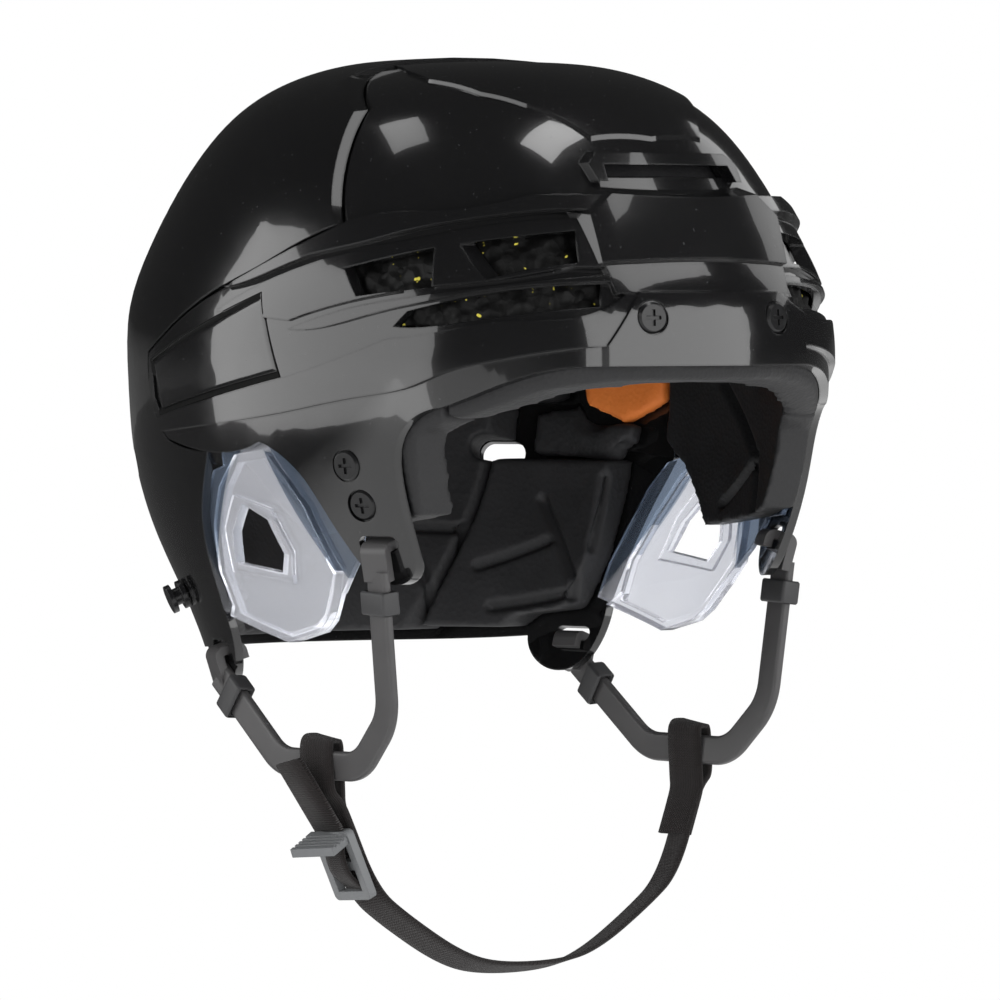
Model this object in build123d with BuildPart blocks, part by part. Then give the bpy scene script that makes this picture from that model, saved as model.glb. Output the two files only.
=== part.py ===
from build123d import *
from functools import lru_cache
import math
import os

# Sizes of the head form in millimetres: +X is the wearer's left, -Y the face and
# +Z the crown. The origin lies midway between the two ear holes.
shell_width = 209.0
shell_length = 267.0
crown_height = 163.0
centre_set_back = 3.5
oval_power = 2.25
oval_points_count = 12

# Walls, steps and running clearances of the two shells
shell_wall = 3.0
overlap_wall = 2.6
rear_crown_stand = 2.5
rear_crown_blend_from = 60.0
rear_crown_blend_to = 110.0
rear_crown_bevel_depth = 2.0
rear_crown_bevel_width = 8.0
crown_step_from = 50.0
crown_step_back = 0.0
rear_vent_width = 17.0
rear_vent_height = 9.0
slide_travel = 10.0
running_gap = 0.5
seat_gap = 0.3
overrun = 30.0

# Ridges that stand on the front shell, each with its lean towards the face
upper_ridge_stand = 2.0
upper_ridge_lean = 4.0
middle_ridge_stand = 0.8
middle_ridge_lean = 1.6
blade_ridge_stand = 0.8
blade_ridge_lean = 1.4
lower_ridge_stand = 1.4
lower_ridge_lean = 1.0
crown_plate_stand = 1.2
panel_stand = 3.4
panel_tilt = 11.0
panel_foot_depth = 117.0
panel_foot_height = 93.0
brim_plate_stand = 1.2
panel_taper = 12.0
panel_front_reach = 40.0
panel_base_depth = 96.0
hood_stand = 4.0
side_recess_depth = 1.4

# Foam liner
liner_thickness = 11.5
lattice_thickness = 5.0
impact_pad_thickness = 6.0

# Ear guards
guard_wall = 2.0
guard_skin = -0.5
guard_rim_stand = 1.4

# Screws, nuts and posts
screw_head_radius = 5.2
screw_head_height = 1.6
screw_shank_radius = 2.2
screw_hole_radius = 2.6
screw_sink = 0.9
recess_clearance = 0.4
nut_flange_radius = 5.5
nut_flange_height = 1.2
nut_barrel_radius = 3.4
nut_barrel_height = 3.0
nut_fit = 0.15
nut_clearance = 0.8
cross_length = 5.4
cross_width = 1.2
cross_depth = 0.9
post_radius = 3.0
post_head_radius = 5.0
post_head_height = 1.8
post_length = 6.4
rivet_height = 2.0

# Slings, chin webbing and buckle
sling_width = 10.0
sling_thickness = 3.2
sling_corner = 1.2
sling_slot_height = 5.4
sling_slot_width = 15.0
sling_flap = 12.0
strap_clearance = 0.5
hook_clearance = 1.2
keeper_height = 8.0
keeper_width = 13.0
keeper_wall = 1.8
junction_half_span = 78.4
junction_back = -18.0
junction_height = -73.0
sling_tilt = 4.0
hook_bend = 2.0
front_sling_bend = 18.0
rear_sling_bend = 20.0
sling_split = 8.0
loop_clearance = 3.0
loop_side_clearance = 1.0
loop_bend = 2.0
chin_bend = 38.0
webbing_width = 15.0
webbing_thickness = 1.5
webbing_tilt = 4.0
webbing_drop = 72.0
buckle_length = 25.0
buckle_width = 20.0
buckle_thickness = 3.0
buckle_bar = 3.2
buckle_corner = 2.0
buckle_drop = 2.5
buckle_stand = 0.7
tab_length = 14.0
tab_width = 17.0
tab_thickness = 3.0
tab_angle = 20.0
tab_groove = 1.2
tab_groove_count = 4
tail_back = 4.0
tail_rise = 27.0
tail_lean = 6.0
fold_share = 0.45

guard_inner_skin = -shell_wall - seat_gap - guard_wall
visor_seat_skin = lower_ridge_stand + brim_plate_stand + lower_ridge_lean
visor_nut_depth = visor_seat_skin + shell_wall + nut_clearance
guard_nut_depth = -guard_inner_skin + nut_clearance
nut_pocket_depth = nut_flange_height + nut_barrel_height + recess_clearance
rivet_pocket_depth = rivet_height + recess_clearance

half_width = shell_width / 2
half_length = shell_length / 2
reach = half_length + overrun
full_height = crown_height + overrun

# Height and half width of the mean shell from the rear legs to the crown
profile_shares = [
    (-0.430, 0.670), (-0.337, 0.727), (-0.147, 0.818), (0.000, 0.909),
    (0.172, 0.979), (0.343, 0.999), (0.491, 0.985), (0.613, 0.919),
    (0.724, 0.837), (0.810, 0.760), (0.877, 0.679), (0.926, 0.589),
    (0.963, 0.478), (0.988, 0.335), (0.9952, 0.220), (0.9985, 0.120), (0.9997, 0.050),
]


def form_stations(skin, lift):
    """Height, half width and half length of each level, `skin` outside the mean shell."""
    heights = [height * crown_height for height, _ in profile_shares]
    widths = [width * half_width for _, width in profile_shares]
    last = len(heights) - 1
    stations = []
    for index, height in enumerate(heights):
        below = max(index - 1, 0)
        above = min(index + 1, last)
        rise = heights[above] - heights[below]
        run_x = widths[below] - widths[above]
        run_y = run_x * half_length / half_width
        slope_x = math.hypot(rise, run_x)
        slope_y = math.hypot(rise, run_y)
        blend = (height - rear_crown_blend_from) / (rear_crown_blend_to - rear_crown_blend_from)
        stand = skin + lift * min(max(blend, 0), 1)
        stations.append((
            height + stand * (run_x / slope_x + run_y / slope_y) / 2,
            widths[index] + stand * rise / slope_x,
            widths[index] * half_length / half_width + stand * rise / slope_y,
        ))
    return stations


def oval_points(reach_x, reach_y):
    """Points round one level of the head form, a superellipse fuller than an ellipse."""
    points = []
    for step in range(oval_points_count):
        turn = 2 * math.pi * step / oval_points_count + math.pi / 2
        across = math.copysign(abs(math.cos(turn)) ** (2 / oval_power), math.cos(turn))
        along = math.copysign(abs(math.sin(turn)) ** (2 / oval_power), math.sin(turn))
        points.append((reach_x * across, centre_set_back + reach_y * along))
    return points


@lru_cache(maxsize=None)
def head_form(skin, lift=0, shift=0):
    """Closed head form, `skin` outside the mean shell and moved back by `shift`."""
    with BuildPart() as form:
        for height, reach_x, reach_y in form_stations(skin, lift):
            with BuildSketch(Plane.XY.offset(height)):
                with BuildLine():
                    Spline(*oval_points(reach_x, reach_y), periodic=True)
                make_face()
        loft()
    return form.part.moved(Location((0, shift, 0)))


def level(height, skin=0):
    """Half width and half length of the head form at one height."""
    stations = form_stations(skin, 0)
    for low, high in zip(stations, stations[1:]):
        if low[0] <= height <= high[0]:
            part_way = (height - low[0]) / (high[0] - low[0])
            return (low[1] + part_way * (high[1] - low[1]), low[2] + part_way * (high[2] - low[2]))
    return stations[-1][1:]


def side_place(back, height, skin=0):
    """Half width of the head form at a place given in side view."""
    reach_x, reach_y = level(height, skin)
    along = abs(back - centre_set_back) / reach_y
    return reach_x * (1 - along ** oval_power) ** (1 / oval_power)


def front_place(across, height, skin=0):
    """Depth of the head form's face side at a place given in front view."""
    reach_x, reach_y = level(height, skin)
    share = abs(across) / reach_x
    return centre_set_back - reach_y * (1 - share ** oval_power) ** (1 / oval_power)


def outward(x, y, z):
    """Direction square to the head form at one of its places."""
    small = crown_height / 1000

    def field(px, py, pz):
        reach_x, reach_y = level(pz)
        across = (abs(px) / reach_x) ** oval_power
        along = (abs(py - centre_set_back) / reach_y) ** oval_power
        return (across + along) ** (1 / oval_power)

    slope = Vector(
        field(x + small, y, z) - field(x - small, y, z),
        field(x, y + small, z) - field(x, y - small, z),
        field(x, y, z + small) - field(x, y, z - small),
    )
    return slope.normalized()


def draw_stretches(stretches, size_u, size_v):
    """Outline of straight and curved stretches, given as shares of two sizes."""
    for stretch in stretches:
        points = [(u * size_u, v * size_v) for u, v in stretch]
        if len(points) == 2:
            Line(*points)
        else:
            Spline(*points)


def side_block(stretches, side=0):
    """Block with a side-view outline, across the helmet or on one side of it."""
    with BuildPart() as block:
        with BuildSketch(Plane.YZ):
            with BuildLine():
                draw_stretches(stretches, half_length, crown_height)
            make_face()
        if side == 0:
            extrude(amount=reach, both=True)
        else:
            extrude(amount=side * reach)
    return block.part


def corners(*points):
    """Stretches of a closed outline with straight sides."""
    return [[start, end] for start, end in zip(points, points[1:] + points[:1])]


def mirrored_corners(*points):
    """Closed front or top view outline from its points on the wearer's left."""
    return corners(*points, *[(-u, v) for u, v in reversed(points) if u != 0])


def front_block(outline, taper=0, start=0):
    """Block with a front-view outline that runs towards the face."""
    with BuildPart() as block:
        with BuildSketch(Plane.XZ.offset(start)):
            with BuildLine():
                draw_stretches(outline, half_width, crown_height)
            make_face()
        extrude(amount=reach - start, taper=taper)
    return block.part


def top_block(outline):
    """Block with a top-view outline over the crown."""
    with BuildPart() as block:
        with BuildSketch(Plane.XY.offset(crown_height / 2)):
            with BuildLine():
                draw_stretches(outline, half_width, half_length)
            make_face()
        extrude(amount=full_height)
    return block.part


def common(*solids):
    """What several solids share."""
    with BuildPart() as shared:
        add(solids[0])
        for solid in solids[1:]:
            add(solid, mode=Mode.INTERSECT)
    return shared.part


def less(solid, *cuts):
    """A solid with others cut out of it."""
    with BuildPart() as rest:
        add(solid)
        for cut in cuts:
            add(cut, mode=Mode.SUBTRACT)
    return rest.part


# The front shell from the brim round the leg, the ear and the side band to the crown step
front_outline_shares = [
    [(-1.199, 0.377), (-0.899, 0.374)],
    [(-0.899, 0.374), (-0.809, 0.353), (-0.727, 0.319), (-0.652, 0.291)],
    [
        (-0.652, 0.291), (-0.584, 0.267), (-0.543, 0.221), (-0.528, 0.147), (-0.524, 0.061),
        (-0.517, -0.012),
    ],
    [(-0.517, -0.012), (-0.494, -0.055), (-0.442, -0.071), (-0.397, -0.055), (-0.367, -0.025)],
    [
        (-0.367, -0.025), (-0.333, 0.031), (-0.300, 0.086), (-0.255, 0.144), (-0.187, 0.190),
        (-0.105, 0.218),
    ],
    [(-0.105, 0.218), (0.060, 0.193), (0.180, 0.199), (0.315, 0.218)],
    [(0.315, 0.218), (0.382, 0.264), (0.423, 0.331), (0.427, 0.396)],
    [
        (0.427, 0.396), (0.270, 0.457), (0.150, 0.503), (0.037, 0.540), (-0.075, 0.574),
        (-0.195, 0.620), (-0.322, 0.660),
    ],
    [(-0.322, 0.660), (-0.270, 0.730), (-0.232, 0.804), (-0.187, 0.902)],
    [(-0.187, 0.902), (0.015, 0.982)],
    [(0.015, 0.982), (0.067, 1.166)],
    [(0.067, 1.166), (-1.199, 1.166)],
    [(-1.199, 1.166), (-1.199, 0.377)],
]
# The rear shell: everything behind that line, with the legs behind the ears
rear_outline_shares = [
    [(0.071, 1.166), (0.019, 0.979)],
    [(0.019, 0.979), (-0.184, 0.899)],
    [(-0.184, 0.899), (-0.228, 0.801), (-0.266, 0.729), (-0.317, 0.661)],
    [
        (-0.317, 0.661), (-0.192, 0.623), (-0.073, 0.577), (0.040, 0.543), (0.152, 0.506),
        (0.272, 0.460), (0.431, 0.399),
    ],
    [(0.431, 0.399), (0.427, 0.331), (0.386, 0.261), (0.315, 0.215)],
    [(0.315, 0.215), (0.180, 0.196), (0.120, 0.194)],
    [
        (0.120, 0.194), (0.157, 0.135), (0.195, 0.074), (0.225, 0.000), (0.240, -0.074),
        (0.247, -0.147),
    ],
    [
        (0.247, -0.147), (0.255, -0.233), (0.300, -0.282), (0.360, -0.294), (0.419, -0.276),
        (0.464, -0.221),
    ],
    [(0.464, -0.221), (0.614, -0.230), (0.824, -0.233)],
    [(0.824, -0.233), (1.199, -0.233)],
    [(1.199, -0.233), (1.199, 1.166)],
    [(1.199, 1.166), (0.071, 1.166)],
]
# Lip of the front shell that runs under the rear shell's crown edge
tongue_outline_shares = [
    [(0.022, 1.166), (-0.022, 1.000)],
    [(-0.022, 1.000), (-0.225, 0.926)],
    [(-0.225, 0.926), (-0.270, 0.810)],
    [(-0.270, 0.810), (-0.307, 0.730)],
    [(-0.307, 0.730), (-0.367, 0.644)],
    [(-0.367, 0.644), (-0.210, 0.592)],
    [(-0.210, 0.592), (0.030, 0.515)],
    [(0.030, 0.515), (0.030, 0.607)],
    [(0.030, 0.607), (-0.075, 0.663)],
    [(-0.075, 0.663), (-0.105, 0.748)],
    [(-0.105, 0.748), (-0.067, 0.834)],
    [(-0.067, 0.834), (0.135, 0.920)],
    [(0.135, 0.920), (0.180, 1.166)],
    [(0.180, 1.166), (0.022, 1.166)],
]
# Side of the rear shell that runs under the front shell's band
wing_outline_shares = [
    [(0.105, 0.546), (0.277, 0.488)],
    [(0.277, 0.488), (0.464, 0.417)],
    [(0.464, 0.417), (0.464, 0.331)],
    [(0.464, 0.331), (0.404, 0.233)],
    [(0.404, 0.233), (0.322, 0.184)],
    [(0.322, 0.184), (0.105, 0.166)],
    [(0.105, 0.166), (0.105, 0.546)],
]
# Ridges and creases of the front shell in side view
upper_ridge_shares = [
    [(-1.199, 0.721), (-0.734, 0.721)],
    [(-0.734, 0.721), (-0.637, 0.693), (-0.479, 0.687), (-0.322, 0.660)],
    [(-0.322, 0.660), (-0.075, 0.574)],
    [(-0.075, 0.574), (0.045, 0.534)],
    [
        (0.045, 0.534), (-0.097, 0.558), (-0.255, 0.598), (-0.412, 0.623), (-0.532, 0.650),
        (-0.659, 0.672), (-0.779, 0.690),
    ],
    [(-0.779, 0.690), (-1.199, 0.690)],
    [(-1.199, 0.690), (-1.199, 0.721)],
]
middle_ridge_shares = [
    [(-1.199, 0.672), (-0.779, 0.672)],
    [
        (-0.779, 0.672), (-0.659, 0.656), (-0.547, 0.635), (-0.375, 0.607), (-0.262, 0.583),
        (-0.090, 0.540), (0.075, 0.485),
    ],
    [(0.075, 0.485), (-0.225, 0.466)],
    [
        (-0.225, 0.466), (-0.337, 0.491), (-0.434, 0.509), (-0.614, 0.534), (-0.734, 0.546),
        (-0.846, 0.574),
    ],
    [(-0.846, 0.574), (-1.199, 0.574)],
    [(-1.199, 0.574), (-1.199, 0.672)],
]
blade_ridge_shares = [
    [(-1.199, 0.558), (-0.891, 0.558)],
    [
        (-0.891, 0.558), (-0.734, 0.534), (-0.614, 0.518), (-0.434, 0.494), (-0.337, 0.475),
        (-0.225, 0.448),
    ],
    [
        (-0.225, 0.448), (-0.375, 0.457), (-0.509, 0.485), (-0.637, 0.509), (-0.764, 0.531),
        (-0.891, 0.543),
    ],
    [(-0.891, 0.543), (-1.199, 0.543)],
    [(-1.199, 0.543), (-1.199, 0.558)],
]
lower_ridge_shares = [
    [(-1.199, 0.528), (-0.929, 0.528)],
    [(-0.929, 0.528), (-0.906, 0.479), (-0.787, 0.466), (-0.682, 0.448), (-0.532, 0.429)],
    [(-0.532, 0.429), (-0.457, 0.405), (-0.337, 0.374), (-0.202, 0.347)],
    [(-0.202, 0.347), (0.360, 0.264)],
    [(0.360, 0.264), (0.352, 0.233)],
    [
        (0.352, 0.233), (0.082, 0.252), (-0.240, 0.282), (-0.472, 0.313), (-0.599, 0.334),
        (-0.674, 0.362), (-0.764, 0.383), (-0.839, 0.399), (-0.914, 0.414),
    ],
    [(-0.914, 0.414), (-1.199, 0.417)],
    [(-1.199, 0.417), (-1.199, 0.528)],
]
side_panel_shares = [
    [(-0.105, 0.521), (-0.195, 0.353)],
    [(-0.195, 0.353), (0.352, 0.270)],
    [(0.352, 0.270), (0.390, 0.307)],
    [(0.390, 0.307), (0.404, 0.380)],
    [(0.404, 0.380), (-0.105, 0.521)],
]
# Openings of the side vents
rear_side_vent_shares = [
    [(-0.375, 0.571), (-0.592, 0.613)],
    [(-0.592, 0.613), (-0.622, 0.534)],
    [(-0.622, 0.534), (-0.434, 0.515)],
    [(-0.434, 0.515), (-0.375, 0.571)],
]
front_side_vent_shares = [
    [(-0.644, 0.620), (-0.816, 0.647)],
    [(-0.816, 0.647), (-0.854, 0.583)],
    [(-0.854, 0.583), (-0.727, 0.549)],
    [(-0.727, 0.549), (-0.644, 0.620)],
]
long_vent_shares = [
    [(-0.539, 0.454), (-0.569, 0.485)],
    [(-0.569, 0.485), (-0.674, 0.509), (-0.779, 0.528), (-0.884, 0.539)],
    [(-0.884, 0.539), (-0.899, 0.494)],
    [(-0.899, 0.494), (-0.801, 0.479), (-0.697, 0.463), (-0.614, 0.453), (-0.539, 0.454)],
]
# Foam blocks in side view
forehead_pad_shares = [
    [(-1.199, 0.347), (-0.891, 0.344)],
    [(-0.891, 0.344), (-0.801, 0.322)],
    [(-0.801, 0.322), (-0.727, 0.291)],
    [(-0.727, 0.291), (-0.659, 0.267)],
    [(-0.659, 0.267), (-0.637, 0.267)],
    [(-0.637, 0.267), (-0.637, 0.436)],
    [(-0.637, 0.436), (-0.734, 0.433)],
    [(-0.734, 0.433), (-0.884, 0.442)],
    [(-0.884, 0.442), (-0.936, 0.564)],
    [(-0.936, 0.564), (-1.199, 0.564)],
    [(-1.199, 0.564), (-1.199, 0.347)],
]
temple_pad_shares = [
    [(-0.633, 0.433), (-0.633, 0.264)],
    [(-0.633, 0.264), (-0.569, 0.236)],
    [(-0.569, 0.236), (-0.558, 0.147)],
    [(-0.558, 0.147), (-0.547, 0.074)],
    [(-0.547, 0.074), (-0.434, 0.052)],
    [(-0.434, 0.052), (-0.172, 0.028)],
    [(-0.172, 0.028), (-0.015, 0.153)],
    [(-0.015, 0.153), (0.075, 0.202)],
    [(0.075, 0.202), (0.075, 0.356)],
    [(0.075, 0.356), (-0.202, 0.368)],
    [(-0.202, 0.368), (-0.449, 0.429)],
    [(-0.449, 0.429), (-0.633, 0.433)],
]
crown_pad_shares = [
    [(-0.030, 1.166), (-0.060, 1.000)],
    [(-0.060, 1.000), (-0.255, 0.929)],
    [(-0.255, 0.929), (-0.300, 0.810)],
    [(-0.300, 0.810), (-0.337, 0.736)],
    [(-0.337, 0.736), (-0.390, 0.699)],
    [(-0.390, 0.699), (-1.199, 0.767)],
    [(-1.199, 0.767), (-1.199, 1.166)],
    [(-1.199, 1.166), (-0.030, 1.166)],
]
side_pad_shares = [
    [(0.285, 0.160), (0.629, 0.160)],
    [(0.629, 0.160), (0.629, -0.202)],
    [(0.629, -0.202), (0.464, -0.202)],
    [(0.464, -0.202), (0.434, -0.175)],
    [(0.434, -0.175), (0.300, -0.160)],
    [(0.300, -0.160), (0.277, -0.061)],
    [(0.277, -0.061), (0.285, 0.160)],
]
back_pad_shares = [
    [(0.494, 0.282), (1.199, 0.282)],
    [(1.199, 0.282), (1.199, 0.687)],
    [(1.199, 0.687), (0.494, 0.687)],
    [(0.494, 0.687), (0.494, 0.282)],
]
rear_crown_pad_shares = [
    [(0.240, 0.699), (1.199, 0.699)],
    [(1.199, 0.699), (1.199, 1.166)],
    [(1.199, 1.166), (0.300, 1.166)],
    [(0.300, 1.166), (0.240, 0.699)],
]
occipital_pad_shares = [
    [(0.644, -0.209), (1.199, -0.209)],
    [(1.199, -0.209), (1.199, 0.270)],
    [(1.199, 0.270), (0.644, 0.270)],
    [(0.644, 0.270), (0.644, -0.209)],
]
impact_pad_shares = [
    [(0.120, 0.479), (0.419, 0.387)],
    [(0.419, 0.387), (0.375, 0.276)],
    [(0.375, 0.276), (0.255, 0.239)],
    [(0.255, 0.239), (0.120, 0.288)],
    [(0.120, 0.288), (0.120, 0.479)],
]
vent_lattice_shares = [
    [(-0.225, 0.491), (-0.449, 0.442)],
    [(-0.449, 0.442), (-0.719, 0.445)],
    [(-0.719, 0.445), (-0.884, 0.460)],
    [(-0.884, 0.460), (-0.944, 0.577)],
    [(-0.944, 0.577), (-0.779, 0.687)],
    [(-0.779, 0.687), (-0.427, 0.626)],
    [(-0.427, 0.626), (-0.255, 0.577)],
    [(-0.255, 0.577), (-0.225, 0.491)],
]
# Ear guard outlines: relief in the foam, hidden flange, clear tray, its pocket, ear hole rim and hole
guard_relief_shares = [
    [(0.105, 0.270), (-0.524, 0.270)],
    [(-0.524, 0.270), (-0.524, 0.012)],
    [(-0.524, 0.012), (-0.390, -0.012)],
    [(-0.390, -0.012), (-0.390, -0.184)],
    [(-0.390, -0.184), (0.300, -0.245)],
    [(0.300, -0.245), (0.300, 0.184)],
    [(0.300, 0.184), (0.105, 0.270)],
]
guard_flange_shares = [
    [(0.094, 0.233), (-0.150, 0.264)],
    [(-0.150, 0.264), (-0.345, 0.239)],
    [(-0.345, 0.239), (-0.479, 0.221)],
    [(-0.479, 0.221), (-0.487, 0.055)],
    [(-0.487, 0.055), (-0.382, 0.049)],
    [(-0.382, 0.049), (-0.337, -0.018)],
    [(-0.337, -0.018), (-0.292, -0.055)],
    [(-0.292, -0.055), (-0.247, -0.092)],
    [(-0.247, -0.092), (0.150, -0.160)],
    [(0.150, -0.160), (0.266, -0.135)],
    [(0.266, -0.135), (0.266, -0.061)],
    [(0.266, -0.061), (0.240, 0.018)],
    [(0.240, 0.018), (0.202, 0.098)],
    [(0.202, 0.098), (0.142, 0.156)],
    [(0.142, 0.156), (0.094, 0.166)],
    [(0.094, 0.166), (0.094, 0.233)],
]
guard_tray_shares = [
    [(0.007, 0.190), (-0.112, 0.202)],
    [(-0.112, 0.202), (-0.180, 0.138)],
    [(-0.180, 0.138), (-0.228, 0.086)],
    [(-0.228, 0.086), (-0.251, 0.025)],
    [(-0.251, 0.025), (-0.277, -0.049)],
    [(-0.277, -0.049), (-0.240, -0.095)],
    [(-0.240, -0.095), (-0.187, -0.150)],
    [(-0.187, -0.150), (-0.142, -0.175)],
    [(-0.142, -0.175), (-0.015, -0.199)],
    [(-0.015, -0.199), (0.228, -0.150)],
    [(0.228, -0.150), (0.199, -0.126)],
    [(0.199, -0.126), (0.206, -0.055)],
    [(0.206, -0.055), (0.161, 0.043)],
    [(0.161, 0.043), (0.097, 0.123)],
    [(0.097, 0.123), (0.007, 0.190)],
]
guard_pocket_shares = [
    [(0.004, 0.175), (-0.101, 0.184)],
    [(-0.101, 0.184), (-0.165, 0.129)],
    [(-0.165, 0.129), (-0.210, 0.080)],
    [(-0.210, 0.080), (-0.232, 0.018)],
    [(-0.232, 0.018), (-0.255, -0.049)],
    [(-0.255, -0.049), (-0.225, -0.086)],
    [(-0.225, -0.086), (-0.180, -0.135)],
    [(-0.180, -0.135), (-0.139, -0.158)],
    [(-0.139, -0.158), (-0.015, -0.181)],
    [(-0.015, -0.181), (0.180, -0.141)],
    [(0.180, -0.141), (0.184, -0.055)],
    [(0.184, -0.055), (0.142, 0.037)],
    [(0.142, 0.037), (0.082, 0.113)],
    [(0.082, 0.113), (0.004, 0.175)],
]
guard_rim_shares = [
    [(0.026, 0.107), (-0.116, 0.080)],
    [(-0.116, 0.080), (-0.157, -0.006)],
    [(-0.157, -0.006), (-0.124, -0.074)],
    [(-0.124, -0.074), (0.120, -0.055)],
    [(0.120, -0.055), (0.097, 0.037)],
    [(0.097, 0.037), (0.026, 0.107)],
]
guard_hole_shares = [
    [(-0.007, 0.089), (-0.097, 0.058)],
    [(-0.097, 0.058), (-0.127, -0.012)],
    [(-0.127, -0.012), (-0.097, -0.052)],
    [(-0.097, -0.052), (0.090, -0.034)],
    [(0.090, -0.034), (0.060, 0.031)],
    [(0.060, 0.031), (-0.007, 0.089)],
]
# Raised forehead panel, hood and slot in front view, wearer's left half
forehead_panel_shares = mirrored_corners(
    (0, 0.745), (0.304, 0.745), (0.410, 0.690), (0.420, 0.553), (0, 0.553),
)
brow_shares = mirrored_corners(
    (0, 0.580), (0.360, 0.580), (0.345, 0.520), (0, 0.520),
)
brim_plate_shares = mirrored_corners(
    (0, 0.525), (0.278, 0.525), (0.397, 0.417), (0.397, 0.350), (0, 0.350),
)
vent_hood_shares = mirrored_corners(
    (0, 0.807), (0.258, 0.807), (0.297, 0.785), (0.287, 0.748),
    (0.258, 0.748), (0.249, 0.782), (0, 0.782),
)
hood_slot_shares = mirrored_corners(
    (0, 0.782), (0.239, 0.782), (0.249, 0.758), (0, 0.758),
)
# Faceted plate on the crown in top view, wearer's left half
crown_plate_shares = mirrored_corners(
    (0, 0.105), (0.287, 0.075), (0.411, -0.120), (0.450, -0.255),
    (0.411, -0.434), (0.344, -0.539), (0.220, -0.689), (0, -0.712),
)
side_vent_shares = [rear_side_vent_shares, front_side_vent_shares, long_vent_shares]
# Places on the shell: depth and height of slots, vents, posts and screws
front_slot_shares = (-0.434, 0.016)
rear_slot_shares = (0.337, -0.218)
rear_vent_shares = (0.682, 0.165)
post_shares = (0.509, -0.110)
side_screw_shares = [(-0.398, 0.172), (-0.420, 0.092)]
visor_screw_shares = (0.249, 0.472)
# Routes of the straps, as shares of the place of each hook and of the chin
front_strap_shares = [(0.95, 0.26), (0.50, 0)]
rear_strap_shares = [(0.40, 0)]
front_keeper_share = 0.8
rear_keeper_share = 1.0
chin_shares = [(0, 1), (0.385, 0.93), (0.66, 0.745), (0.83, 0.60), (0.965, 0.24)]

front_region = side_block(front_outline_shares)
rear_region = side_block(rear_outline_shares)
tongue_region = side_block(tongue_outline_shares)
wing_region = side_block(wing_outline_shares)

# Where one shell slides under the other, the hidden wall is drawn on the head form
# moved by the travel, so that it clears the outer wall over the whole slide.
hidden_skin = -shell_wall - running_gap
hidden_inner_skin = hidden_skin - overlap_wall


def side_spot(shares, side, skin=0):
    """Plane square to the shell at a side-view place."""
    back = shares[0] * half_length
    height = shares[1] * crown_height
    x = side * side_place(back, height, skin)
    return Plane(origin=(x, back, height), z_dir=outward(x, back, height))


def front_spot(shares, side, skin=0):
    """Plane square to the shell at a front-view place."""
    across = side * shares[0] * half_width
    height = shares[1] * crown_height
    y = front_place(across, height, skin)
    return Plane(origin=(across, y, height), z_dir=outward(across, y, height))


def level_plane(shares, side):
    """Plane on the middle of the wall, its x axis level and its y axis up the wall."""
    spot = side_spot(shares, side, -shell_wall / 2)
    level_axis = Vector(0, 0, 1).cross(spot.z_dir).normalized()
    return Plane(origin=spot.origin, x_dir=level_axis, z_dir=spot.z_dir)


side_spots = {side: [side_spot(shares, side) for shares in side_screw_shares] for side in (-1, 1)}
visor_spots = [front_spot(visor_screw_shares, side, visor_seat_skin) for side in (-1, 1)]
post_spots = {side: side_spot(post_shares, side) for side in (-1, 1)}
front_slot_planes = {side: level_plane(front_slot_shares, side) for side in (-1, 1)}
rear_slot_planes = {side: level_plane(rear_slot_shares, side) for side in (-1, 1)}
rear_vent_planes = {side: level_plane(rear_vent_shares, side) for side in (-1, 1)}


def bores(spots, radius, from_height, to_height):
    """Round cuts square to the shell, between two heights over each spot."""
    with BuildPart() as cuts:
        for spot in spots:
            with BuildSketch(spot.offset(from_height)):
                Circle(radius)
            extrude(amount=to_height - from_height)
    return cuts.part


def slots(planes, width, height):
    """Slots with round ends cut right through the wall."""
    with BuildPart() as cuts:
        for plane in planes:
            with BuildSketch(plane.offset(-overrun / 2)):
                SlotOverall(width, height)
            extrude(amount=overrun)
    return cuts.part


def on_left(solid):
    """The same piece on the wearer's left."""
    with BuildPart() as piece:
        add(solid)
        mirror(about=Plane.YZ, mode=Mode.REPLACE)
    return piece.part


all_screw_spots = side_spots[-1] + side_spots[1] + visor_spots
screw_bores = bores(all_screw_spots, screw_hole_radius, -overrun / 2, overrun / 2)
screw_seats = bores(all_screw_spots, screw_head_radius + recess_clearance, -screw_sink, overrun / 2)
visor_pockets = bores(
    visor_spots, nut_flange_radius + recess_clearance, -visor_nut_depth - nut_pocket_depth, -shell_wall
)
guard_pockets = bores(
    side_spots[-1], nut_flange_radius + recess_clearance, -guard_nut_depth - nut_pocket_depth, -shell_wall
)

# The brow is plain between the side ridges, and the forehead panel tilts out over it
brow_gap = front_block(brow_shares, 0, panel_base_depth)
panel_foot = Axis((0, -panel_foot_depth, panel_foot_height), (1, 0, 0))

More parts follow.
